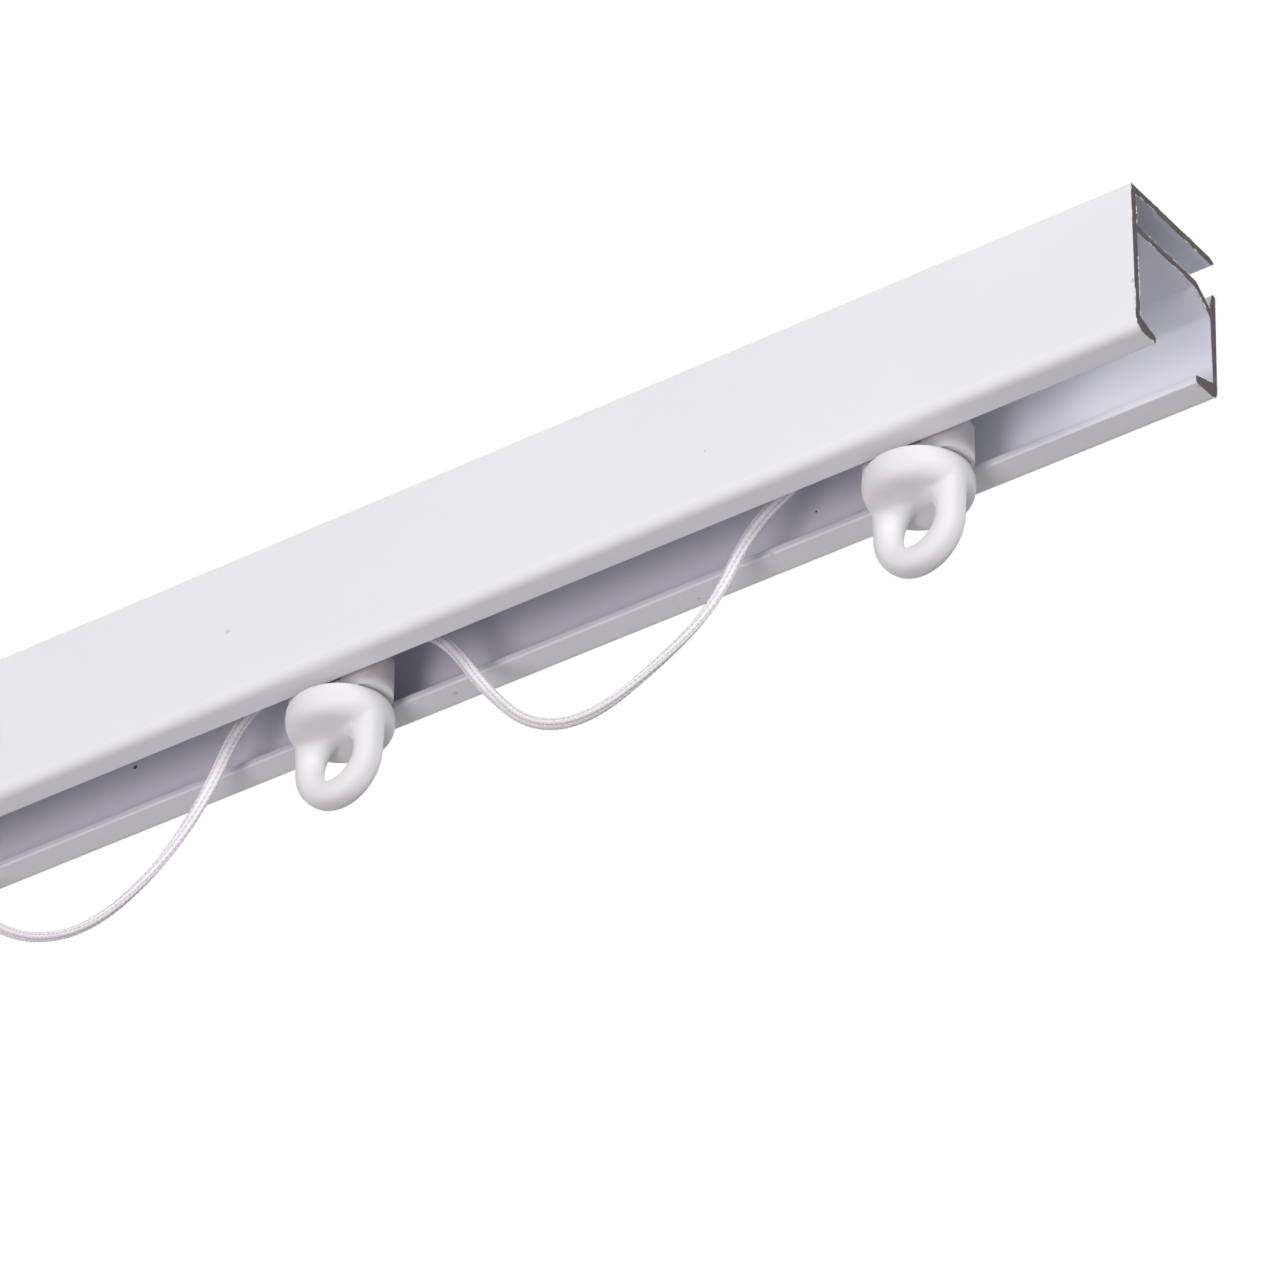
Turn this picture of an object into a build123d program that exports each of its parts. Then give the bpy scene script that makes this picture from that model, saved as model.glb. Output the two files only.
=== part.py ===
from build123d import *
import math
import os

# Curtain track: a cut length of extruded aluminium rail with three roller gliders linked by a cord.
# +X runs along the rail to its right-hand cut end, +Y to the back, +Z up.
# The origin is the middle of the rail's top face. Sizes are in millimetres.

# Rail: overall sizes and walls
rail_length = 300.0
rail_depth = 17.0
rail_height = 20.3
front_wall = 0.95
back_wall = 0.75  # at its foot
top_wall = 0.95
top_overhang = 0.7  # the top flange stands out past the back wall's foot
top_bevel = 1.0  # width of the bevel along the flange's back edge
top_drop = 0.4  # how far the bevel falls
tip_slant = 0.7  # the flange's end slants in below the bevel
tip_radius = 0.15
edge_radius = 0.25

# Rail: the web over the running channel, and the hook behind it
web_height = 14.8  # top of the web above the rail's underside
web_thickness = 0.9
web_bend = 3.6  # where the web turns down, in front of the back wall's foot
bend_radius = 0.8
slant_thickness = 1.0
slant_radius = 1.0  # where the slanted web runs into the back wall
hook_height = 15.0  # top of the hook above the underside
hook_lean = 0.55  # the back wall leans out by this much up to the hook's top
hook_rise = 2.25  # depth of the notch between the hook and the slanted web
hook_root = 1.4
hook_thickness = 0.7

# Rail: the two lips that the gliders run on
front_lip = 4.1
back_lip = 4.45
lip_tip = 0.95
lip_slope = 18.0  # degrees, falling towards the slot
front_radius = 1.4
back_radius = 1.2

# Gliders along the rail
glider_setback = 34.5  # first glider's centre from the right-hand cut end
glider_pitch = 82.1
eye_angles = (-6.0, -4.0, 5.0)  # how each eye happens to stand, in degrees about Z

# Carrier: the neck block that stands in the slot and holds the axle, cord and eye
neck_length = 14.2
neck_clearance = 1.2  # between the neck and each lip's edge
neck_drop = 0.8  # below the rail's underside
neck_round = 0.6
shoulder_height = 3.2  # where the block starts to narrow upwards
crown_length = 8.4
crown_wall = 0.9  # above the cord's hole
crown_radius = 1.6
boss_radius = 1.7
boss_gap = 0.12  # between a boss and its roller

# Rollers and their axle
roller_radius = 3.2  # at the inner face
roller_width = 2.3
roller_inset = 0.15  # roller's inner face beyond the lip's edge
tread_gap = 0.12  # square to the lip's slope
roller_dish = 0.45
roller_rim = 0.55
hub_wall = 0.5
rim_radius = 0.2
axle_radius = 0.6
axle_clearance = 0.05
head_radius = 1.1
head_thickness = 0.35
head_gap = 0.12

# Eye: disc, hanging ring and snap stem in one moulding
disc_radius = 6.45
disc_thickness = 3.9
disc_gap = 0.3  # between the neck and the disc
disc_top_radius = 0.7
disc_bottom_radius = 1.95
ring_thickness = 3.4  # front to back
ring_edge = 1.35  # rounding of its long edges
largest_rounding = 0.48  # of the ring's narrowest wall
ring_hole = 3.05  # radius of the hole that takes the curtain's hook
ring_web = 0.1  # between the disc's underside and the hole
ring_floor = 3.25  # under the hole
ring_bend = 6.05  # radius of the ring's rounded bottom
ring_inset = 0.1  # sides stand inside the disc's rim where they leave it
stem_radius = 1.4
stem_clearance = 0.06
stem_slit = 0.5
stem_floor = 1.8  # thickness of the neck's floor that the stem snaps through
barb_radius = 2.0
barb_height = 1.3
barb_gap = 0.12
window_width = 4.6
window_height = 1.6

# Cord
cord_diameter = 1.5
cord_clearance = 0.1
cord_cover = 0.5  # carrier wall between the axle and the cord's hole
cord_stub = 0.3  # cord standing out past each end of the neck
cord_lead = 3.0  # level stretch of each span next to a carrier

# Places worked out from the sizes above
underside = -rail_height
front_face = -rail_depth / 2
back_face = rail_depth / 2
slot_width = rail_depth - front_lip - back_lip
slot_middle = front_face + front_lip + slot_width / 2
lip_tan = math.tan(math.radians(lip_slope))
lip_cos = math.cos(math.radians(lip_slope))
neck_width = slot_width - 2 * neck_clearance
roller_inner = slot_width / 2 + roller_inset
roller_outer = roller_inner + roller_width
head_inner = roller_outer + head_gap
axle_height = underside + lip_tip + roller_inset * lip_tan + tread_gap / lip_cos + roller_radius
hole_radius = cord_diameter / 2 + cord_clearance
cord_height = axle_height + axle_radius + cord_cover + hole_radius
crown_top = cord_height + hole_radius + crown_wall
neck_bottom = underside - neck_drop
window_bottom = neck_bottom + stem_floor
disc_top = neck_bottom - disc_gap
disc_bottom = disc_top - disc_thickness
hole_height = disc_bottom - ring_web - ring_hole
ring_bottom = hole_height - ring_hole - ring_floor
cord_mouth = neck_length / 2 + cord_stub
first_glider = rail_length / 2 - glider_setback
glider_places = [first_glider - index * glider_pitch for index in range(3)]

# Cord spans in the slot's middle plane: distance from the glider on the span's right, and
# height above the rail's underside. The cord hangs slack because the gliders stand closer
# together than it is long.
right_span = [
    (15.3, 4.9), (21.8, 0.8), (28.1, -7.0), (34.6, -14.0), (43.6, -16.6),
    (53.9, -14.4), (60.6, -6.8), (66.5, 3.0),
]
left_span = [
    (15.4, 3.1), (20.3, -6.4), (27.2, -13.6), (36.5, -18.0), (45.5, -16.6),
    (53.5, -11.0), (60.0, -3.2), (66.3, 3.4),
]


def save(solid, name):
    solid.label = name
    export_step(solid, f"parts/{name}.step")


# Rail section in the YZ plane, as (depth, height above the underside, corner radius)
def rail_outline():
    overhang = back_face + top_overhang
    top = rail_height
    ceiling = web_height - web_thickness
    hook_face = back_face + hook_lean
    notch = (hook_face - hook_root, hook_height - hook_rise)
    bend = (back_face - web_bend, web_height)
    run = (notch[0] - bend[0], notch[1] - bend[1])
    length = math.hypot(*run)
    along = (run[0] / length, run[1] / length)
    under = (bend[0] + slant_thickness * along[1], bend[1] - slant_thickness * along[0])
    to_ceiling = (ceiling - under[1]) / along[1]
    to_wall = (back_face - back_wall - under[0]) / along[0]
    front_root = lip_tip + (front_lip - front_wall) * lip_tan
    back_root = lip_tip + (back_lip - back_wall) * lip_tan
    return [
        (front_face + front_lip, 0.0, edge_radius),
        (front_face, 0.0, front_radius),
        (front_face, top, edge_radius),
        (overhang - top_bevel, top, edge_radius),
        (overhang, top - top_drop, tip_radius),
        (overhang - tip_slant, top - top_wall, tip_radius),
        (front_face + front_wall, top - top_wall, edge_radius),
        (front_face + front_wall, web_height, edge_radius),
        (bend[0], bend[1], bend_radius),
        (notch[0], notch[1], 0.0),
        (hook_face - hook_thickness, hook_height, edge_radius),
        (hook_face, hook_height, edge_radius),
        (back_face, 0.0, back_radius),
        (back_face - back_lip, 0.0, edge_radius),
        (back_face - back_lip, lip_tip, edge_radius),
        (back_face - back_wall, back_root, edge_radius),
        (back_face - back_wall, under[1] + to_wall * along[1], slant_radius),
        (under[0] + to_ceiling * along[0], ceiling, edge_radius),
        (front_face + front_wall, ceiling, edge_radius),
        (front_face + front_wall, front_root, edge_radius),
        (front_face + front_lip, lip_tip, edge_radius),
    ]


def make_rail():
    corners = rail_outline()
    points = [(depth, height) for depth, height, _ in corners]
    radii = [radius for _, _, radius in corners]
    edge = FilletPolyline(*points, radius=radii, close=True)
    section = Plane.YZ * make_face(edge)
    rail = extrude(section, amount=rail_length)
    return Pos(-rail_length / 2, 0, underside) * rail


# Carrier at X = 0: a round-ended neck block that narrows to a crown over the cord's hole
def make_carrier():
    side = neck_length / 2
    crown = crown_length / 2
    shoulder = underside + shoulder_height
    outline = FilletPolyline(
        (-side, neck_bottom), (side, neck_bottom), (side, shoulder),
        (crown, crown_top), (-crown, crown_top), (-side, shoulder),
        radius=[neck_round, neck_round, crown_radius, crown_radius, crown_radius, crown_radius],
        close=True,
    )
    block = extrude(Plane.XZ * make_face(outline), amount=neck_width / 2, both=True)
    plan = extrude(Pos(0, 0, neck_bottom) * SlotOverall(neck_length, neck_width),
                   amount=crown_top - neck_bottom)
    body = block & plan
    boss_reach = roller_inner - boss_gap
    axle_line = Pos(0, 0, axle_height) * Rot(90, 0, 0)
    body += axle_line * Cylinder(boss_radius, 2 * boss_reach)
    body -= axle_line * Cylinder(axle_radius, 2 * boss_reach)
    body -= Pos(0, 0, cord_height) * Rot(0, 90, 0) * Cylinder(hole_radius, neck_length)
    body -= Pos(0, 0, window_bottom + window_height / 2) * Box(
        window_width, neck_width, window_height)
    body -= Pos(0, 0, neck_bottom) * Cylinder(
        stem_radius + stem_clearance, stem_floor, align=(Align.CENTER, Align.CENTER, Align.MIN))
    return body


# Axle along Y at X = 0, with a domed head at each end that keeps the rollers on
def make_axle():
    rod = Cylinder(axle_radius, 2 * head_inner)
    head = Cone(head_radius, head_radius - head_thickness, head_thickness,
                align=(Align.CENTER, Align.CENTER, Align.MIN))
    rod += Pos(0, 0, head_inner) * head
    rod += Pos(0, 0, -head_inner) * Rot(180, 0, 0) * head
    return Pos(0, 0, axle_height) * Rot(90, 0, 0) * rod


# Roller turned about the axle's line, its tread sloped to match the lip; side is -1 or +1
def make_roller(side):
    bore = axle_radius + axle_clearance
    hub = bore + hub_wall
    taper = roller_width * lip_tan
    outer = roller_radius - taper
    profile = FilletPolyline(
        (bore, 0), (roller_radius, 0), (outer, roller_width),
        (outer - roller_rim, roller_width), (outer - roller_rim, roller_width - roller_dish),
        (hub, roller_width - roller_dish), (hub, roller_width), (bore, roller_width),
        radius=[0, rim_radius, rim_radius, 0, 0, 0, 0, 0],
        close=True,
    )
    roller = revolve(Plane.XZ * make_face(profile), Axis.Z)
    turned = Rot(-90, 0, 0) * roller if side > 0 else Rot(90, 0, 0) * roller
    return Pos(0, side * roller_inner, axle_height) * turned


# Ring in the XZ plane: straight sides leaning in to a round bottom, with a round hole
def make_ring():
    side = disc_radius - ring_inset
    root = disc_top - disc_top_radius
    centre = ring_bottom + ring_bend
    rise = root - centre
    angle = math.atan2(rise, side) - math.acos(ring_bend / math.hypot(side, rise))
    touch = (ring_bend * math.cos(angle), centre + ring_bend * math.sin(angle))
    outline = Wire([
        Line((side, root), touch),
        ThreePointArc(touch, (0, ring_bottom), (-touch[0], touch[1])),
        Line((-touch[0], touch[1]), (-side, root)),
        Line((-side, root), (side, root)),
    ])
    ring = extrude(Plane.XZ * make_face(outline), amount=ring_thickness / 2, both=True)
    ring -= Pos(0, 0, hole_height) * Rot(90, 0, 0) * Cylinder(ring_hole, ring_thickness)
    faces = ring.faces().sort_by(Axis.Y)
    long_edges = (faces[0].edges() + faces[-1].edges()).filter_by(lambda edge: (edge @ 0.5).Z < root)
    narrowest = min(ring_thickness, ring_bend - ring_hole)
    return fillet(long_edges, min(ring_edge, narrowest * largest_rounding))


# Eye at X = 0: disc with rounded rims, the ring under it and the split stem above it
def make_eye():
    rim = FilletPolyline(
        (0, disc_bottom), (disc_radius, disc_bottom), (disc_radius, disc_top), (0, disc_top),
        radius=[0, disc_bottom_radius, disc_top_radius, 0],
        close=True,
    )
    eye = revolve(Plane.XZ * make_face(rim), Axis.Z)
    barb_bottom = window_bottom + barb_gap
    stem_length = barb_bottom - disc_top
    eye += Pos(0, 0, disc_top) * Cylinder(
        stem_radius, stem_length, align=(Align.CENTER, Align.CENTER, Align.MIN))
    eye += Pos(0, 0, barb_bottom) * Cone(
        barb_radius, stem_radius, barb_height, align=(Align.CENTER, Align.CENTER, Align.MIN))
    eye -= Pos(0, 0, disc_top + disc_gap) * Box(
        window_width, stem_slit, stem_length + barb_height,
        align=(Align.CENTER, Align.CENTER, Align.MIN))
    return eye + make_ring()


# Each arc is as large as its two runs allow: 0.45 of the shorter run over tan(half the turn)
def cord_radii(points):
    radii = []
    for before, corner, after in zip(points, points[1:], points[2:]):
        arriving = Vector(*corner) - Vector(*before)
        leaving = Vector(*after) - Vector(*corner)
        turn = math.radians(arriving.get_angle(leaving))
        shorter = min(arriving.length, leaving.length)
        radii.append(0.45 * shorter / math.tan(turn / 2))
    return radii


def make_span(right_place, route, name):
    right_mouth = right_place - cord_mouth
    left_mouth = right_place - glider_pitch + cord_mouth
    points = [(right_mouth, slot_middle, cord_height)]
    points += [(right_mouth - cord_lead, slot_middle, cord_height)]
    points += [(right_place - away, slot_middle, underside + height) for away, height in route]
    points += [(left_mouth + cord_lead, slot_middle, cord_height)]
    points += [(left_mouth, slot_middle, cord_height)]
    radii = cord_radii(points)
    path = FilletPolyline(*points, radius=radii).wire()
    start = Plane(origin=path @ 0, z_dir=path % 0)
    tube = sweep(start * Circle(cord_diameter / 2), path=path)
    section = math.pi * cord_diameter**2 / 4
    print(name, "length", round(path.length, 2), "volume over section x length",
          round(tube.volume / (section * path.length), 5))
    print(name, "radii", [round(radius, 1) for radius in radii])
    return tube


def make_stub(place):
    stub = Rot(0, 90, 0) * Cylinder(cord_diameter / 2, 2 * cord_mouth)
    return Pos(place, slot_middle, cord_height) * stub


os.makedirs("parts", exist_ok=True)
save(make_rail(), "rail")

carrier = make_carrier()
axle = make_axle()
front_roller = make_roller(-1)
back_roller = make_roller(1)
eye = make_eye()
for number, (place, angle) in enumerate(zip(glider_places, eye_angles), start=1):
    seat = Pos(place, slot_middle, 0)
    save(seat * carrier, f"carrier_{number}")
    save(seat * axle, f"axle_{number}")
    save(seat * front_roller, f"front_roller_{number}")
    save(seat * back_roller, f"back_roller_{number}")
    save(seat * Rot(0, 0, angle) * eye, f"eye_{number}")
    save(make_stub(place), f"cord_in_carrier_{number}")

save(make_span(glider_places[0], right_span, "cord_span_1"), "cord_span_1")
save(make_span(glider_places[1], left_span, "cord_span_2"), "cord_span_2")
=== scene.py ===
import math

import bmesh
import bpy
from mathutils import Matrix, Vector


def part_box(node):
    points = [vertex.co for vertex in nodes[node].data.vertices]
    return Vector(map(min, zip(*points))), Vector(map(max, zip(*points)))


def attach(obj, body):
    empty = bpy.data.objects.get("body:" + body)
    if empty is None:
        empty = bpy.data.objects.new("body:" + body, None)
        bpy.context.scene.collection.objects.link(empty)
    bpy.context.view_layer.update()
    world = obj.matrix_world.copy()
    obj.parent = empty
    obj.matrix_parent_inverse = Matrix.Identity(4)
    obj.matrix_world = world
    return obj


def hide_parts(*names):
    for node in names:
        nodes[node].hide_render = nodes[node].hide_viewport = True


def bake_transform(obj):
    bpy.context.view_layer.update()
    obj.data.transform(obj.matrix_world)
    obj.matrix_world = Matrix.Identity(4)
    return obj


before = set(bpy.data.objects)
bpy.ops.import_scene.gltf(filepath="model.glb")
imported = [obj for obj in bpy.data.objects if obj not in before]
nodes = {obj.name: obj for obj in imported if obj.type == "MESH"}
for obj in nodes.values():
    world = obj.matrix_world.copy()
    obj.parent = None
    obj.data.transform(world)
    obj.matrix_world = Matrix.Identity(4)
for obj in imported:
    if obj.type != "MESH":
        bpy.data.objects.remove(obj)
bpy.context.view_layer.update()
scene = bpy.context.scene
mm = 0.001
mergeDistance = 0.0005 * mm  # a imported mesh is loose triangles, merged before it is worked on

print("stage: camera")
cameraView = {
    "place": (0.5155, -0.6167, -0.56265),  # below the rail, in front of it and past its right end
    "aim": (0.0824, -0.0085, -0.0353),
    "rollDegrees": 0.35,
    "lens": 226.9,
    "sensor": 36.0,
    "nearest": 0.01,
}


def makeCamera(view):
    camera = bpy.data.objects.new("camera", bpy.data.cameras.new("camera"))
    scene.collection.objects.link(camera)
    camera.data.lens = view["lens"]
    camera.data.sensor_width = view["sensor"]
    camera.data.clip_start = view["nearest"]
    camera.location = view["place"]
    sight = Vector(view["aim"]) - Vector(view["place"])
    camera.rotation_euler = sight.to_track_quat("-Z", "Y").to_euler()
    camera.rotation_euler.rotate_axis("Z", math.radians(view["rollDegrees"]))
    scene.camera = camera


makeCamera(cameraView)


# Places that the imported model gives: the rail's box, and where each cord comes out
def middle(node):
    low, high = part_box(node)
    return (low + high) / 2


railLow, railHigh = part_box("rail")
gliderNumbers = (1, 2, 3)
cordMiddle = {n: middle(f"cord_in_carrier_{n}") for n in gliderNumbers}
mouth = (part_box("cord_in_carrier_1")[1].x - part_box("cord_in_carrier_1")[0].x) / 2
slotY = cordMiddle[1].y
cordZ = cordMiddle[1].z


# Small helpers for node trees, of materials and of geometry alike
def addNode(tree, kind, **settings):
    node = tree.nodes.new(kind)
    for name, value in settings.items():
        setattr(node, name, value)
    return node


def feed(tree, socket, value):
    if isinstance(value, bpy.types.NodeSocket):
        tree.links.new(value, socket)
    else:
        socket.default_value = value


def maths(tree, operation, *values, clamp=False):
    node = addNode(tree, "ShaderNodeMath", operation=operation, use_clamp=clamp)
    for index, value in enumerate(values):
        feed(tree, node.inputs[index], value)
    return node.outputs[0]


def vectorOf(tree, x, y, z):
    node = addNode(tree, "ShaderNodeCombineXYZ")
    for index, value in enumerate((x, y, z)):
        feed(tree, node.inputs[index], value)
    return node.outputs[0]


def partsOf(tree, vector):
    node = addNode(tree, "ShaderNodeSeparateXYZ")
    feed(tree, node.inputs[0], vector)
    return node.outputs


ridgeFullness = 0.6  # below 1 a ridge is plumper than a plain wave


# Plait pattern: ridges run along the cord, each of short stitches that lean one way on this ridge
# and the other way on the next
def plaitPattern(tree, around, along, ridges, stitch, slant, rise, weave):
    own = maths(tree, "MULTIPLY", around, ridges)
    number = maths(tree, "FLOOR", own)
    across = maths(tree, "SUBTRACT", maths(tree, "SUBTRACT", own, number), 0.5)
    dome = maths(tree, "COSINE", maths(tree, "MULTIPLY", across, math.pi))
    full = maths(tree, "POWER", maths(tree, "MAXIMUM", dome, 0.0), ridgeFullness)
    odd = maths(tree, "FLOORED_MODULO", number, 2.0)
    lean = maths(tree, "SUBTRACT", maths(tree, "MULTIPLY", odd, 2.0), 1.0)
    slanted = maths(tree, "MULTIPLY", maths(tree, "MULTIPLY", across, lean), slant)
    phase = maths(tree, "ADD", maths(tree, "DIVIDE", along, stitch), slanted)
    wave = maths(tree, "COSINE", maths(tree, "MULTIPLY", phase, 2 * math.pi))
    woven = maths(tree, "ADD", rise, maths(tree, "MULTIPLY", wave, weave))
    height = maths(tree, "MULTIPLY", full, woven)
    return height, phase


print("stage: materials")
noiseSpan = (0.3, 0.7)  # a noise seldom leaves this range


def newMaterial(name):
    material = bpy.data.materials.new(name)
    material.use_nodes = True
    tree = material.node_tree
    shader = tree.nodes["Principled BSDF"]
    place = addNode(tree, "ShaderNodeTexCoord").outputs["Object"]
    return material, tree, shader, place


def noise(tree, place, scale, detail=2.0, stretch=None):
    if stretch:
        mapping = addNode(tree, "ShaderNodeMapping")
        mapping.inputs["Scale"].default_value = stretch
        feed(tree, mapping.inputs["Vector"], place)
        place = mapping.outputs[0]
    node = addNode(tree, "ShaderNodeTexNoise")
    feed(tree, node.inputs["Vector"], place)
    node.inputs["Scale"].default_value = scale
    node.inputs["Detail"].default_value = detail
    return node.outputs["Fac"]


def ramp(tree, value, low, high, lowResult=0.0, highResult=1.0):
    node = addNode(tree, "ShaderNodeMapRange")
    for index, item in enumerate((value, low, high, lowResult, highResult)):
        feed(tree, node.inputs[index], item)
    return node.outputs[0]


def mixColour(tree, factor, first, second):
    node = addNode(tree, "ShaderNodeMix", data_type="RGBA")
    for socket, value in ((node.inputs[0], factor), (node.inputs[6], first), (node.inputs[7], second)):
        if isinstance(value, tuple) and len(value) == 3:
            value = (*value, 1.0)
        feed(tree, socket, value)
    return node.outputs[2]


def dimmed(colour, share):
    return tuple(channel * share for channel in colour)


def bump(tree, shader, layers):
    last = None
    for height, distance in layers:
        node = addNode(tree, "ShaderNodeBump")
        node.inputs["Distance"].default_value = distance
        feed(tree, node.inputs["Height"], height)
        if last:
            tree.links.new(last, node.inputs["Normal"])
        last = node.outputs[0]
    tree.links.new(last, shader.inputs["Normal"])


railFinish = {
    "white": (0.85, 0.87, 0.89),
    # painted shade: the channel's inside is painted darker and bluer in place of its shade and bluish
    # bounce light
    "inside": (0.805, 0.815, 0.885),
    "insideDepths": (-8.1 * mm, 8.1 * mm),  # faces between these depths are inside the section
    "insideEnds": 0.4 * mm,  # from the top and the underside
    "soft": 0.3 * mm,
    "speck": (0.10, 0.10, 0.13),
    "roughness": (0.42, 0.52),
    "cloudScale": 35.0,
    "cloudShade": 0.975,
    "peelScale": 700.0,
    "peel": 0.018 * mm,
    "grainScale": 3200.0,
    "grain": 0.004 * mm,
    "drawScale": 2400.0,
    "draw": 0.005 * mm,  # faint lines that the extrusion die leaves along the rail
    "drawStretch": (0.02, 1.0, 1.0),
    "speckScale": 260.0,
    "speckSize": 0.08,
    "speckShare": 0.15,
    "speckOutside": 0.25,  # specks on the outer faces are fainter
}


# White powder coat with orange peel; inside the channel the coat is painted a darker blue-grey, which is
# painted shade and bluish bounce light there
def railCoating(finish):
    material, tree, shader, place = newMaterial("railCoating")
    depth, height = partsOf(tree, place)[1], partsOf(tree, place)[2]
    near, far = finish["insideDepths"]
    soft, ends = finish["soft"], finish["insideEnds"]
    behindFront = ramp(tree, depth, near, near + soft)
    beforeBack = ramp(tree, depth, far + soft, far)
    aboveLips = ramp(tree, height, railLow.z + ends, railLow.z + ends + soft)
    belowTop = ramp(tree, height, railHigh.z - ends, railHigh.z - ends - soft)
    inside = maths(tree, "MULTIPLY", maths(tree, "MULTIPLY", behindFront, beforeBack),
                   maths(tree, "MULTIPLY", aboveLips, belowTop))
    cloud = ramp(tree, noise(tree, place, finish["cloudScale"]), *noiseSpan)
    outer = mixColour(tree, cloud, finish["white"], dimmed(finish["white"], finish["cloudShade"]))
    # painted shade and bluish bounce light on the faces inside the channel
    base = mixColour(tree, inside, outer, finish["inside"])
    cells = addNode(tree, "ShaderNodeTexVoronoi")
    feed(tree, cells.inputs["Vector"], place)
    cells.inputs["Scale"].default_value = finish["speckScale"]
    lot = partsOf(tree, cells.outputs["Color"])[0]
    rare = maths(tree, "GREATER_THAN", lot, 1.0 - finish["speckShare"])
    dot = maths(tree, "LESS_THAN", cells.outputs["Distance"], finish["speckSize"])
    strength = maths(tree, "ADD", inside, finish["speckOutside"])
    speck = maths(tree, "MULTIPLY", maths(tree, "MULTIPLY", rare, dot), strength, clamp=True)
    base = mixColour(tree, speck, base, finish["speck"])
    tree.links.new(base, shader.inputs["Base Color"])
    peel = noise(tree, place, finish["peelScale"])
    grain = noise(tree, place, finish["grainScale"])
    drawn = noise(tree, place, finish["drawScale"], stretch=finish["drawStretch"])
    tree.links.new(ramp(tree, peel, *noiseSpan, *finish["roughness"]), shader.inputs["Roughness"])
    bump(tree, shader, [(peel, finish["peel"]), (grain, finish["grain"]), (drawn, finish["draw"])])
    return material


eyeFinish = {
    "white": (0.84, 0.845, 0.85),
    "roughness": (0.44, 0.56),
    "gloss": 0.2,
    "glow": 0.25,
    "glowRadius": (1.0, 0.85, 0.75),
    "glowDepth": 0.9 * mm,
    "cloudScale": 120.0,
    "cloudSpan": (0.35, 0.65),
    "cloudShade": 0.97,
    "flowScale": 420.0,
    "flow": 0.010 * mm,
    "skinScale": 5200.0,
    "skin": 0.0015 * mm,
}


# Moulded acetal, satin and slightly translucent
def mouldedPlastic(name, finish):
    material, tree, shader, place = newMaterial(name)
    cloud = ramp(tree, noise(tree, place, finish["cloudScale"]), *finish["cloudSpan"])
    shade = mixColour(tree, cloud, finish["white"], dimmed(finish["white"], finish["cloudShade"]))
    tree.links.new(shade, shader.inputs["Base Color"])
    flow = noise(tree, place, finish["flowScale"], 3.0)
    skin = noise(tree, place, finish["skinScale"])
    tree.links.new(ramp(tree, flow, *noiseSpan, *finish["roughness"]), shader.inputs["Roughness"])
    shader.inputs["Specular IOR Level"].default_value = finish["gloss"]
    shader.inputs["Subsurface Weight"].default_value = finish["glow"]
    shader.inputs["Subsurface Radius"].default_value = finish["glowRadius"]
    shader.inputs["Subsurface Scale"].default_value = finish["glowDepth"]
    bump(tree, shader, [(flow, finish["flow"]), (skin, finish["skin"])])
    return material


carrierFinish = dict(eyeFinish, white=(0.84, 0.83, 0.82), roughness=(0.48, 0.60))
rollerFinish = dict(eyeFinish, white=(0.74, 0.74, 0.76), roughness=(0.35, 0.46))


axleFinish = {
    "pale": (0.50, 0.50, 0.51),
    "grey": (0.34, 0.34, 0.36),
    "ringScale": 900.0,
    "ringStretch": (0.15, 6.0, 0.15),
    "ring": 0.004 * mm,
    "roughness": (0.28, 0.45),
}


# Drawn steel pin with fine rings across it
def axleSteel(finish):
    material, tree, shader, place = newMaterial("axleSteel")
    rings = noise(tree, place, finish["ringScale"], 4.0, stretch=finish["ringStretch"])
    shade = mixColour(tree, ramp(tree, rings, *noiseSpan), finish["pale"], finish["grey"])
    tree.links.new(shade, shader.inputs["Base Color"])
    shader.inputs["Metallic"].default_value = 1.0
    tree.links.new(ramp(tree, rings, *noiseSpan, *finish["roughness"]), shader.inputs["Roughness"])
    bump(tree, shader, [(rings, finish["ring"])])
    return material


sawFinish = {
    # painted shade: the cut's bare metal is given these dark tones for the shade that falls on the cut end
    "dark": (0.036, 0.025, 0.026),
    "light": (0.125, 0.094, 0.096),
    "inset": 0.10 * mm,  # thickness of the coat that rims the cut
    "proud": 0.015 * mm,
    "reach": 0.01 * mm,  # corners this near the end belong to the cut
    "bladeScale": 2600.0,
    "bladeAngle": 24.0,
    "bladeStretch": (1.0, 0.06, 1.0),
    "scratchSpan": (0.35, 0.70),
    "scratch": 0.02 * mm,
    "blotchScale": 900.0,
    "blotchSpan": (0.45, 0.65),
    "blotchShare": 0.7,
    "metallic": 0.35,
    "roughness": (0.42, 0.62),
}


# Bare metal of the saw cut, painted dark brown-grey as painted shade on the cut end; rough, with the
# blade's slanting scratches
def sawCutMetal(finish):
    material, tree, shader, place = newMaterial("sawCutMetal")
    mapping = addNode(tree, "ShaderNodeMapping")
    mapping.inputs["Rotation"].default_value = (math.radians(finish["bladeAngle"]), 0, 0)
    mapping.inputs["Scale"].default_value = finish["bladeStretch"]
    feed(tree, mapping.inputs["Vector"], place)
    scratch = noise(tree, mapping.outputs[0], finish["bladeScale"], 4.0)
    blotch = noise(tree, place, finish["blotchScale"], 3.0)
    # painted shade: the scratches mix between two dark tones
    shade = mixColour(tree, ramp(tree, scratch, *finish["scratchSpan"]), finish["dark"], finish["light"])
    stained = ramp(tree, blotch, *finish["blotchSpan"], 0.0, finish["blotchShare"])
    shade = mixColour(tree, stained, shade, finish["dark"])
    tree.links.new(shade, shader.inputs["Base Color"])
    shader.inputs["Metallic"].default_value = finish["metallic"]
    tree.links.new(ramp(tree, scratch, *noiseSpan, *finish["roughness"]), shader.inputs["Roughness"])
    bump(tree, shader, [(scratch, finish["scratch"])])
    return material


burrFinish = {
    "bright": (0.90, 0.87, 0.87),
    "dull": (0.125, 0.094, 0.096),
    "grainScale": 3000.0,
    "grainSpan": (0.45, 0.75),
    "metallic": 0.1,
    "roughness": 0.4,
}


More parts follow.
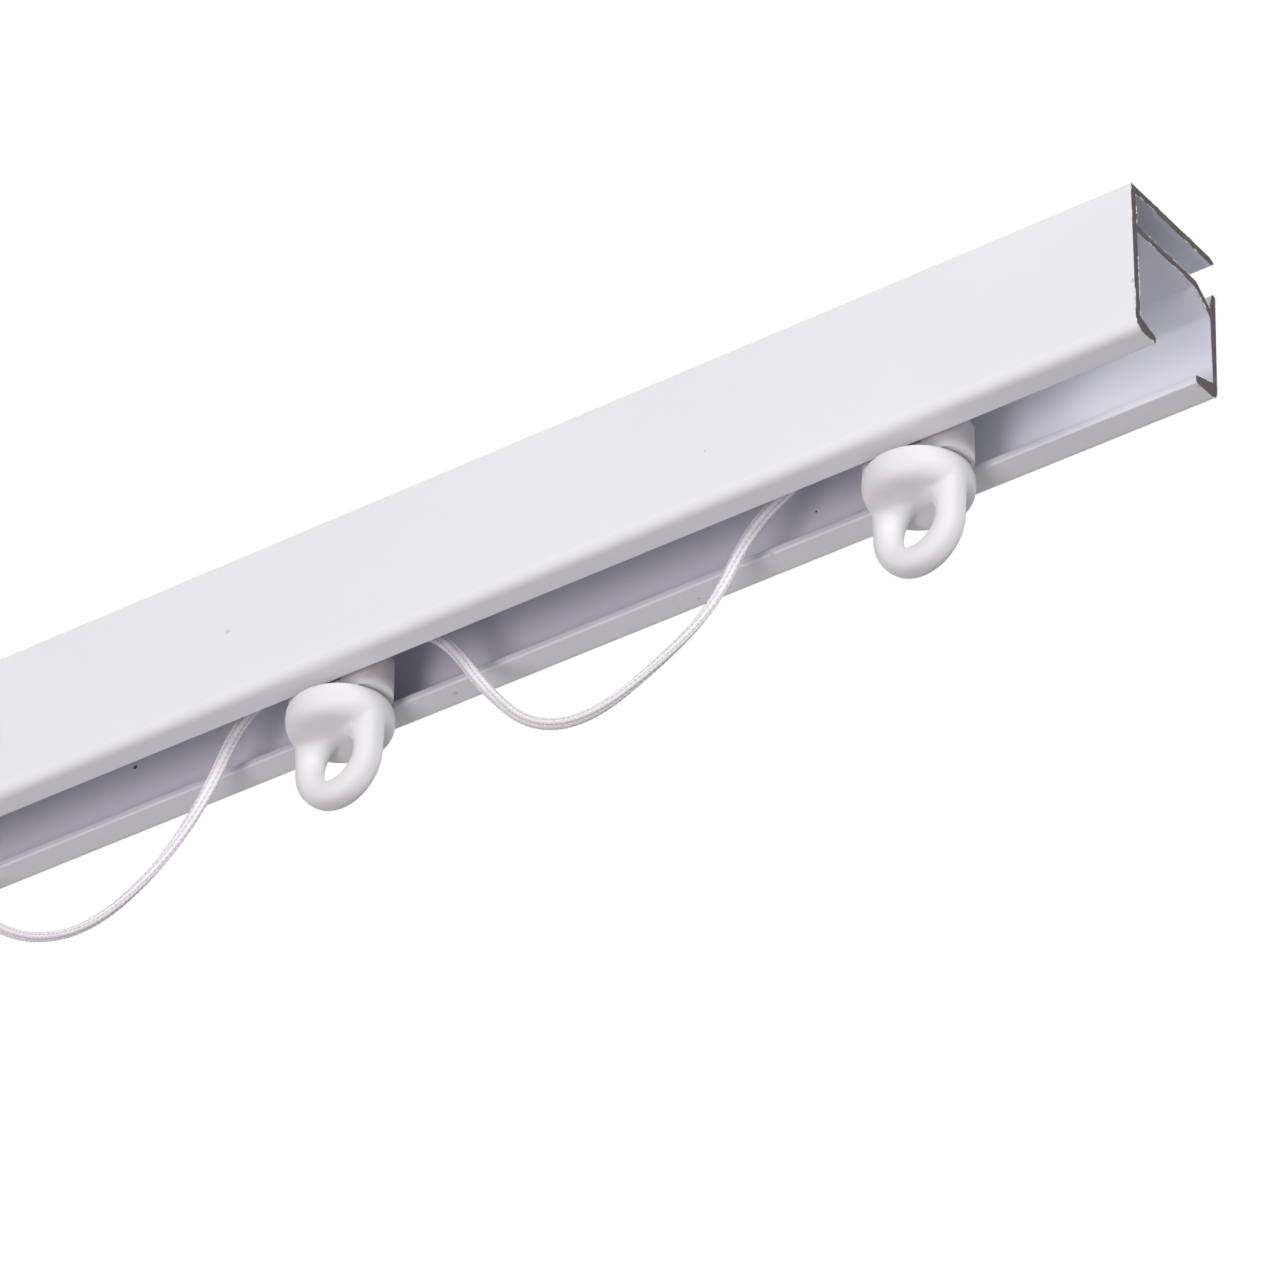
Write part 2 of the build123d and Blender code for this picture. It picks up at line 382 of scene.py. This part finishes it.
# Turned-over edges and crumbs of bright metal left by the blade
def bareBurr(finish):
    material, tree, shader, place = newMaterial("bareBurr")
    grain = ramp(tree, noise(tree, place, finish["grainScale"]), *finish["grainSpan"])
    shade = mixColour(tree, grain, finish["bright"], finish["dull"])
    tree.links.new(shade, shader.inputs["Base Color"])
    shader.inputs["Metallic"].default_value = finish["metallic"]
    shader.inputs["Roughness"].default_value = finish["roughness"]
    return material


cordBraid = {
    "width": 1.62 * mm,
    "thickness": 1.12 * mm,  # a plait lies a little flat
    "step": 0.085 * mm,
    "sides": 48,
    "ridges": 6.0,
    "stitch": 0.68 * mm,
    "slant": 0.9,  # stitches that one ridge's width leans over
    "rise": 0.075 * mm,
    "weave": 0.022 * mm,
    "twist": 62.0,  # radians in a metre
    "lead": 3.0 * mm,
    "inside": 3.0 * mm,  # each span reaches this far into a carrier's hole
    "stubHalf": 2.8 * mm,
    "blendPast": 12.0 * mm,
    "white": (0.93, 0.92, 0.94),
    # painted shade: the grooves between ridges are painted darker
    "grooveShade": (0.64, 0.63, 0.67),
    "filaments": 3.0,  # in one stitch
    "grooveSpan": (0.30, 0.75),  # share of the rise over which groove turns to ridge
    "threadShade": 0.05,
    "thread": 0.0006 * mm,
    "fuzzScale": 6000.0,
    "fuzz": 0.0004 * mm,
    "roughness": 0.5,
    "sheen": 0.15,
    "sheenRoughness": 0.4,
    "lineSteps": 16,
}


# Polyester plait: pale ridges, painted shade in the grooves between them and painted shade lines between
# the fine filaments in each stitch
def cordYarn(braid):
    material, tree, shader, place = newMaterial("cordYarn")
    ring = addNode(tree, "ShaderNodeAttribute", attribute_name="ring")
    x, y, along = partsOf(tree, ring.outputs["Vector"])
    around = maths(tree, "DIVIDE", maths(tree, "ARCTAN2", y, x), 2 * math.pi)
    height, phase = plaitPattern(tree, around, along, braid["ridges"], braid["stitch"], braid["slant"],
                                 braid["rise"], braid["weave"])
    threads = maths(tree, "SINE", maths(tree, "MULTIPLY", phase, 2 * math.pi * braid["filaments"]))
    lit = ramp(tree, height, *(share * braid["rise"] for share in braid["grooveSpan"]))
    # painted shade in the grooves, lighter towards the ridges' crowns
    shade = mixColour(tree, lit, braid["grooveShade"], braid["white"])
    shadow = ramp(tree, threads, -1.0, 1.0, 0.0, braid["threadShade"])
    shade = mixColour(tree, shadow, shade, braid["grooveShade"])
    tree.links.new(shade, shader.inputs["Base Color"])
    shader.inputs["Roughness"].default_value = braid["roughness"]
    shader.inputs["Sheen Weight"].default_value = braid["sheen"]
    shader.inputs["Sheen Roughness"].default_value = braid["sheenRoughness"]
    fuzz = noise(tree, place, braid["fuzzScale"], 3.0)
    bump(tree, shader, [(threads, braid["thread"]), (fuzz, braid["fuzz"])])
    return material


coat = railCoating(railFinish)
eyePlastic = mouldedPlastic("eyePlastic", eyeFinish)
carrierPlastic = mouldedPlastic("carrierPlastic", carrierFinish)
rollerPlastic = mouldedPlastic("rollerPlastic", rollerFinish)
steel = axleSteel(axleFinish)
cutMetal = sawCutMetal(sawFinish)
burrMetal = bareBurr(burrFinish)
yarn = cordYarn(cordBraid)


def dress(piece, material):
    piece.data.materials.clear()
    piece.data.materials.append(material)


dress(nodes["rail"], coat)
for n in gliderNumbers:
    dress(nodes[f"carrier_{n}"], carrierPlastic)
    dress(nodes[f"axle_{n}"], steel)
    dress(nodes[f"front_roller_{n}"], rollerPlastic)
    dress(nodes[f"back_roller_{n}"], rollerPlastic)


print("stage: eyes")
eyeSoftening = {
    "voxel": 0.14 * mm,
    "rounds": 70,
    "share": 0.5,
    "grow": 0.07 * mm,  # what the smoothing takes off the round limbs
    "fade": 0.5 * mm,  # the stem above the disc keeps its shape
}


def newPiece(name, mesh):
    piece = bpy.data.objects.new(name, mesh)
    scene.collection.objects.link(piece)
    return piece


def plainMesh(piece):
    bpy.context.view_layer.update()
    graph = bpy.context.evaluated_depsgraph_get()
    return bpy.data.meshes.new_from_object(piece.evaluated_get(graph), depsgraph=graph)


def modified(piece):
    result = plainMesh(piece)
    piece.modifiers.clear()
    piece.data = result


# The moulding as it shows: round limbs, and a soft web where the ring runs into the disc
def softEye(n, softening):
    node = nodes[f"eye_{n}"]
    mesh = node.data.copy()
    work = bmesh.new()
    work.from_mesh(mesh)
    bmesh.ops.remove_doubles(work, verts=work.verts, dist=mergeDistance)
    work.to_mesh(mesh)
    work.free()
    piece = newPiece(f"softEye{n}", mesh)
    remesh = piece.modifiers.new("remesh", "REMESH")
    remesh.mode = "VOXEL"
    remesh.voxel_size = softening["voxel"]
    modified(piece)
    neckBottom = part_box(f"carrier_{n}")[0].z
    below = piece.vertex_groups.new(name="below")
    for vertex in piece.data.vertices:
        share = min(1.0, (neckBottom - vertex.co.z) / softening["fade"])
        if share > 0:
            below.add([vertex.index], share, "REPLACE")
    smooth = piece.modifiers.new("smooth", "SMOOTH")
    smooth.iterations = softening["rounds"]
    smooth.factor = softening["share"]
    smooth.vertex_group = "below"
    grown = piece.modifiers.new("grow", "DISPLACE")
    grown.strength = softening["grow"]
    grown.mid_level = 0.0
    grown.vertex_group = "below"
    modified(piece)
    piece.vertex_groups.clear()
    piece.data.shade_smooth()
    piece.data.materials.clear()
    piece.data.materials.append(eyePlastic)
    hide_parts(f"eye_{n}")
    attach(piece, f"hanging_eye_{n}")


for n in gliderNumbers:
    softEye(n, eyeSoftening)


print("stage: cords")
# The cord's route in the slot's middle plane: distance left of the glider on the span's right,
# and height above the rail's underside
rightSpan = [
    (0.0160, 0.0058), (0.0236, 0.0006), (0.0282, -0.0076), (0.0354, -0.0124), (0.0454, -0.0166),
    (0.0539, -0.0146), (0.0606, -0.0068), (0.0665, 0.0030),
]
leftSpan = [
    (0.0154, 0.0031), (0.0203, -0.0064), (0.0272, -0.0136), (0.0365, -0.0180), (0.0455, -0.0166),
    (0.0535, -0.0110), (0.0600, -0.0032), (0.0663, 0.0034),
]


def applyTree(piece, tree, values):
    modifier = piece.modifiers.new("tree", "NODES")
    modifier.node_group = tree
    for socket in tree.interface.items_tree:
        if socket.in_out == "INPUT" and socket.name in values:
            modifier[socket.identifier] = values[socket.name]
    result = plainMesh(piece)
    piece.modifiers.remove(modifier)
    piece.data = result


def treeInputs(tree, sockets):
    for name, kind in sockets:
        tree.interface.new_socket(name, in_out="INPUT", socket_type=kind)
    tree.interface.new_socket("Geometry", in_out="OUTPUT", socket_type="NodeSocketGeometry")
    entry = addNode(tree, "NodeGroupInput")
    return {name: entry.outputs[name] for name, kind in sockets}


def treeEnd(tree, geometry, material):
    real = addNode(tree, "GeometryNodeRealizeInstances")
    feed(tree, real.inputs["Geometry"], geometry)
    painted = addNode(tree, "GeometryNodeSetMaterial")
    feed(tree, painted.inputs["Geometry"], real.outputs[0])
    feed(tree, painted.inputs["Material"], material)
    feed(tree, addNode(tree, "NodeGroupOutput").inputs["Geometry"], painted.outputs[0])


def store(tree, geometry, name, value, kind="FLOAT"):
    node = addNode(tree, "GeometryNodeStoreNamedAttribute", data_type=kind, domain="POINT")
    node.inputs["Name"].default_value = name
    feed(tree, node.inputs["Geometry"], geometry)
    feed(tree, node.inputs["Value"], value)
    return node.outputs[0]


def stored(tree, name, kind="FLOAT"):
    node = addNode(tree, "GeometryNodeInputNamedAttribute", data_type=kind)
    node.inputs["Name"].default_value = name
    return node.outputs[0]


# A braided tube along a line: the tube's ring is an oval that turns along the line
def makeBraidTree():
    tree = bpy.data.node_groups.new("braidedCord", "GeometryNodeTree")
    given = treeInputs(tree, [
        ("Geometry", "NodeSocketGeometry"), ("Width", "NodeSocketFloat"), ("Thickness", "NodeSocketFloat"),
        ("Step", "NodeSocketFloat"), ("Sides", "NodeSocketInt"), ("Ridges", "NodeSocketFloat"),
        ("Stitch", "NodeSocketFloat"), ("Slant", "NodeSocketFloat"), ("Rise", "NodeSocketFloat"),
        ("Weave", "NodeSocketFloat"), ("Twist", "NodeSocketFloat"), ("Material", "NodeSocketMaterial"),
    ])
    line = addNode(tree, "GeometryNodeMeshToCurve")
    feed(tree, line.inputs["Mesh"], given["Geometry"])
    even = addNode(tree, "GeometryNodeResampleCurve", mode="LENGTH")
    feed(tree, even.inputs["Curve"], line.outputs[0])
    feed(tree, even.inputs["Length"], given["Step"])
    reach = addNode(tree, "GeometryNodeSplineParameter").outputs["Length"]
    turned = addNode(tree, "GeometryNodeSetCurveTilt")
    feed(tree, turned.inputs["Curve"], even.outputs[0])
    feed(tree, turned.inputs["Tilt"], maths(tree, "MULTIPLY", reach, given["Twist"]))
    marked = store(tree, turned.outputs[0], "along", reach)
    circle = addNode(tree, "GeometryNodeCurvePrimitiveCircle")
    feed(tree, circle.inputs["Resolution"], given["Sides"])
    share = addNode(tree, "GeometryNodeSplineParameter").outputs["Factor"]
    oval = store(tree, circle.outputs[0], "around", share)
    halves = [maths(tree, "SUBTRACT", maths(tree, "MULTIPLY", given[side], 0.5), given["Rise"])
              for side in ("Width", "Thickness")]
    flat = addNode(tree, "GeometryNodeTransform")
    feed(tree, flat.inputs["Geometry"], oval)
    feed(tree, flat.inputs["Scale"], vectorOf(tree, *halves, 1.0))
    tube = addNode(tree, "GeometryNodeCurveToMesh")
    feed(tree, tube.inputs["Curve"], marked)
    feed(tree, tube.inputs["Profile Curve"], flat.outputs[0])
    tube.inputs["Fill Caps"].default_value = True
    around = stored(tree, "around")
    along = stored(tree, "along")
    height, phase = plaitPattern(tree, around, along, given["Ridges"], given["Stitch"], given["Slant"],
                                 given["Rise"], given["Weave"])
    outwards = addNode(tree, "ShaderNodeVectorMath", operation="SCALE")
    feed(tree, outwards.inputs[0], addNode(tree, "GeometryNodeInputNormal").outputs[0])
    feed(tree, outwards.inputs["Scale"], height)
    raised = addNode(tree, "GeometryNodeSetPosition")
    feed(tree, raised.inputs["Geometry"], tube.outputs[0])
    feed(tree, raised.inputs["Offset"], outwards.outputs[0])
    angle = maths(tree, "MULTIPLY", around, 2 * math.pi)
    ring = vectorOf(tree, maths(tree, "COSINE", angle), maths(tree, "SINE", angle), along)
    ringed = store(tree, raised.outputs[0], "ring", ring, "FLOAT_VECTOR")
    smooth = addNode(tree, "GeometryNodeSetShadeSmooth")
    feed(tree, smooth.inputs["Geometry"], ringed)
    treeEnd(tree, smooth.outputs[0], given["Material"])
    return tree


braidTree = makeBraidTree()


def routeLine(name, points, steps):
    curve = bpy.data.curves.new(name, "CURVE")
    curve.dimensions = "3D"
    curve.resolution_u = steps
    spline = curve.splines.new("NURBS")
    spline.points.add(len(points) - 1)
    for point, place in zip(spline.points, points):
        point.co = (*place, 1.0)
    spline.order_u = 3
    spline.use_endpoint_u = True
    holder = newPiece(name, curve)
    line = plainMesh(holder)
    bpy.data.objects.remove(holder)
    return line


def braidedPiece(name, points, braid, node):
    line = routeLine(name + "Line", points, braid["lineSteps"])
    path = [tuple(vertex.co) for vertex in line.vertices]
    piece = newPiece(name, line)
    applyTree(piece, braidTree, {
        "Width": braid["width"], "Thickness": braid["thickness"], "Step": braid["step"],
        "Sides": braid["sides"], "Ridges": braid["ridges"], "Stitch": braid["stitch"],
        "Slant": braid["slant"], "Rise": braid["rise"], "Weave": braid["weave"], "Twist": braid["twist"],
        "Material": yarn,
    })
    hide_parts(node)
    return piece, path


def makeSpan(name, right, left, route, braid, node):
    rightX = cordMiddle[right].x
    leftX = cordMiddle[left].x
    points = [(rightX - mouth + braid["inside"], slotY, cordZ), (rightX - mouth, slotY, cordZ),
              (rightX - mouth - braid["lead"], slotY, cordZ)]
    points += [(rightX - away, slotY, railLow.z + height) for away, height in route]
    points += [(leftX + mouth + braid["lead"], slotY, cordZ), (leftX + mouth, slotY, cordZ),
               (leftX + mouth - braid["inside"], slotY, cordZ)]
    piece, path = braidedPiece(name, points, braid, node)
    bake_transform(piece)


makeSpan("cordSpanRight", 1, 2, rightSpan, cordBraid, "cord_span_1")
makeSpan("cordSpanLeft", 2, 3, leftSpan, cordBraid, "cord_span_2")
for n in gliderNumbers:
    centre = cordMiddle[n]
    reach = cordBraid["stubHalf"]
    ends = [(centre.x + reach * share, slotY, cordZ) for share in (1.0, 0.3, -0.3, -1.0)]
    piece, path = braidedPiece(f"cordInCarrier{n}", ends, cordBraid, f"cord_in_carrier_{n}")
    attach(piece, f"glider_{n}")


print("stage: saw cuts")


# The bare metal of a cut end: the rail's end outline, drawn in by the coat's thickness
def cutFace(name, side, finish):
    mesh = nodes["rail"].data.copy()
    work = bmesh.new()
    work.from_mesh(mesh)
    bmesh.ops.remove_doubles(work, verts=work.verts, dist=mergeDistance)
    endX = railHigh.x if side > 0 else railLow.x
    away = [v for v in work.verts if abs(v.co.x - endX) > finish["reach"]]
    bmesh.ops.delete(work, geom=away, context="VERTS")
    bmesh.ops.dissolve_faces(work, faces=work.faces[:])
    bmesh.ops.inset_region(work, faces=work.faces[:], thickness=finish["inset"], use_even_offset=True)
    rim = [face for face in work.faces if len(face.verts) == 4]
    bmesh.ops.delete(work, geom=rim, context="FACES")
    loose = [v for v in work.verts if not v.link_faces]
    bmesh.ops.delete(work, geom=loose, context="VERTS")
    faceX = endX + side * finish["proud"]
    outline = [(faceX, v.co.y, v.co.z) for face in work.faces for v in face.verts]
    grown = bmesh.ops.extrude_face_region(work, geom=work.faces[:])
    for item in grown["geom"]:
        if isinstance(item, bmesh.types.BMVert):
            item.co.x += side * finish["proud"]
    bmesh.ops.triangulate(work, faces=work.faces[:])
    bmesh.ops.recalc_face_normals(work, faces=work.faces[:])
    work.to_mesh(mesh)
    work.free()
    mesh.materials.clear()
    mesh.materials.append(cutMetal)
    piece = newPiece(name, mesh)
    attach(piece, "rail")
    return outline


sawBurrs = {
    "step": 0.16 * mm,
    "share": 0.55,
    "length": (0.22 * mm, 0.65 * mm),
    "girth": (0.08 * mm, 0.20 * mm),
    "clusterScale": 420.0,
    "clusters": (0.50, 0.58),  # burrs stand where the noise is above these
    "seed": 7,
}


def randomValue(tree, low, high, seed):
    node = addNode(tree, "FunctionNodeRandomValue", data_type="FLOAT")
    sockets = {socket.identifier: socket for socket in node.inputs}
    sockets["Min_001"].default_value = low
    sockets["Max_001"].default_value = high
    feed(tree, sockets["Seed"], seed)
    return next(socket for socket in node.outputs if socket.identifier == "Value_001")


# Crumbs of metal along a line, in clusters, each laid along the line
def makeBurrTree(burrs):
    tree = bpy.data.node_groups.new("sawBurrs", "GeometryNodeTree")
    given = treeInputs(tree, [
        ("Geometry", "NodeSocketGeometry"), ("Step", "NodeSocketFloat"), ("Share", "NodeSocketFloat"),
        ("Seed", "NodeSocketInt"), ("Material", "NodeSocketMaterial"),
    ])
    line = addNode(tree, "GeometryNodeMeshToCurve")
    feed(tree, line.inputs["Mesh"], given["Geometry"])
    even = addNode(tree, "GeometryNodeResampleCurve", mode="LENGTH")
    feed(tree, even.inputs["Curve"], line.outputs[0])
    feed(tree, even.inputs["Length"], given["Step"])
    crumb = addNode(tree, "GeometryNodeMeshIcoSphere")
    crumb.inputs["Radius"].default_value = 0.5
    crumb.inputs["Subdivisions"].default_value = 2
    place = addNode(tree, "GeometryNodeInputPosition").outputs[0]
    cluster = ramp(tree, noise(tree, place, burrs["clusterScale"]), *burrs["clusters"])
    chance = maths(tree, "MULTIPLY", cluster, given["Share"])
    chosen = maths(tree, "LESS_THAN", randomValue(tree, 0.0, 1.0, given["Seed"]), chance)
    sizes = []
    for offset, (low, high) in enumerate((burrs["length"], burrs["girth"], burrs["girth"]), start=1):
        sizes.append(randomValue(tree, low, high, maths(tree, "ADD", given["Seed"], offset)))
    facing = addNode(tree, "FunctionNodeAlignRotationToVector", axis="X")
    feed(tree, facing.inputs["Vector"], addNode(tree, "GeometryNodeInputTangent").outputs[0])
    spread = addNode(tree, "GeometryNodeInstanceOnPoints")
    feed(tree, spread.inputs["Points"], even.outputs[0])
    feed(tree, spread.inputs["Selection"], chosen)
    feed(tree, spread.inputs["Instance"], crumb.outputs[0])
    feed(tree, spread.inputs["Rotation"], facing.outputs[0])
    feed(tree, spread.inputs["Scale"], vectorOf(tree, *sizes))
    treeEnd(tree, spread.outputs[0], given["Material"])
    return tree


burrTree = makeBurrTree(sawBurrs)


def burrPiece(name, outline, burrs):
    mesh = bpy.data.meshes.new(name)
    count = len(outline)
    mesh.from_pydata(outline, [(i, (i + 1) % count) for i in range(count)], [])
    piece = newPiece(name, mesh)
    applyTree(piece, burrTree, {"Step": burrs["step"], "Share": burrs["share"], "Seed": burrs["seed"],
                                "Material": burrMetal})
    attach(piece, "rail")


rightOutline = cutFace("sawCutRight", 1, sawFinish)
leftOutline = cutFace("sawCutLeft", -1, sawFinish)
burrPiece("sawBurrsRight", rightOutline, sawBurrs)
burrPiece("sawBurrsLeft", leftOutline, sawBurrs)


print("stage: floor, world and lamps")
studio = {
    "floorDrop": 1.9,
    "floorSize": 60.0,
    "floorColour": (0.88, 0.82, 0.85),
    "floorGlow": 0.11,  # what a floor nearer the rail would throw back
    "floorWhite": 0.7,
    "floorRoughness": 0.9,
    "mottleScale": 3.0,
    "mottleShade": 0.985,
    "ambient": (0.93, 0.94, 1.0),
    "ambientStrength": 0.10,
    "aim": (0.05, 0.0, -0.02),
    "lampSize": 0.7,
}
lamps = [
    {"name": "keyLamp", "place": (1.42, -0.79, 0.13), "power": 15.6, "colour": (1.0, 0.99, 1.0)},
    {"name": "lowLamp", "place": (0.05, -1.31, -0.94), "power": 9.2, "colour": (1.0, 0.90, 0.95)},
    {"name": "highLamp", "place": (-0.65, -1.31, 0.58), "power": 4.8, "colour": (1.0, 1.0, 1.0)},
    {"name": "sideLamp", "place": (-1.29, -0.77, -0.43), "power": 1.8, "colour": (1.0, 1.0, 1.0)},
    {"name": "backLamp", "place": (0.05, 1.20, 0.90), "power": 9.0, "colour": (1.0, 1.0, 1.0)},
]
matteLamps = ("backLamp",)  # its gleam would rim the eyes with white slivers


def cameraShare(tree):
    path = addNode(tree, "ShaderNodeLightPath")
    seen = maths(tree, "MAXIMUM", path.outputs["Is Camera Ray"], path.outputs["Is Glossy Ray"])
    return maths(tree, "MAXIMUM", seen, path.outputs["Is Transmission Ray"])


def makeWorld(settings):
    world = bpy.data.worlds.new("studioWorld")
    scene.world = world
    world.use_nodes = True
    tree = world.node_tree
    ambient = tree.nodes["Background"]
    ambient.inputs["Color"].default_value = (*settings["ambient"], 1.0)
    ambient.inputs["Strength"].default_value = settings["ambientStrength"]
    white = addNode(tree, "ShaderNodeBackground")
    white.inputs["Color"].default_value = (1.0, 1.0, 1.0, 1.0)
    mix = addNode(tree, "ShaderNodeMixShader")
    feed(tree, mix.inputs[0], cameraShare(tree))
    feed(tree, mix.inputs[1], ambient.outputs[0])
    feed(tree, mix.inputs[2], white.outputs[0])
    tree.links.new(mix.outputs[0], tree.nodes["World Output"].inputs["Surface"])


def makeFloor(settings):
    half = settings["floorSize"] / 2
    level = railLow.z - settings["floorDrop"]
    corners = [(-half, -half, level), (half, -half, level), (half, half, level), (-half, half, level)]
    mesh = bpy.data.meshes.new("floor")
    mesh.from_pydata(corners, [], [(0, 1, 2, 3)])
    material, tree, shader, place = newMaterial("floorPaint")
    mottle = noise(tree, place, settings["mottleScale"])
    darker = dimmed(settings["floorColour"], settings["mottleShade"])
    paint = mixColour(tree, mottle, settings["floorColour"], darker)
    tree.links.new(paint, shader.inputs["Base Color"])
    shader.inputs["Roughness"].default_value = settings["floorRoughness"]
    lit = addNode(tree, "ShaderNodeEmission")
    lit.inputs["Color"].default_value = (1.0, 1.0, 1.0, 1.0)
    mix = addNode(tree, "ShaderNodeMixShader")
    glow = maths(tree, "MULTIPLY_ADD", cameraShare(tree), settings["floorWhite"], settings["floorGlow"])
    feed(tree, mix.inputs[0], glow)
    feed(tree, mix.inputs[1], shader.outputs[0])
    feed(tree, mix.inputs[2], lit.outputs[0])
    tree.links.new(mix.outputs[0], tree.nodes["Material Output"].inputs["Surface"])
    mesh.materials.append(material)
    newPiece("floor", mesh)


def makeLamp(settings, size, aim):
    lamp = bpy.data.lights.new(settings["name"], "AREA")
    lamp.shape = "DISK"
    lamp.size = size
    lamp.energy = settings["power"]
    lamp.color = settings["colour"]
    holder = newPiece(settings["name"], lamp)
    holder.location = settings["place"]
    sight = Vector(aim) - Vector(settings["place"])
    holder.rotation_euler = sight.to_track_quat("-Z", "Y").to_euler()
    holder.visible_glossy = settings["name"] not in matteLamps


makeWorld(studio)
makeFloor(studio)
for settings in lamps:
    makeLamp(settings, studio["lampSize"], studio["aim"])
scene.view_settings.view_transform = "Standard"
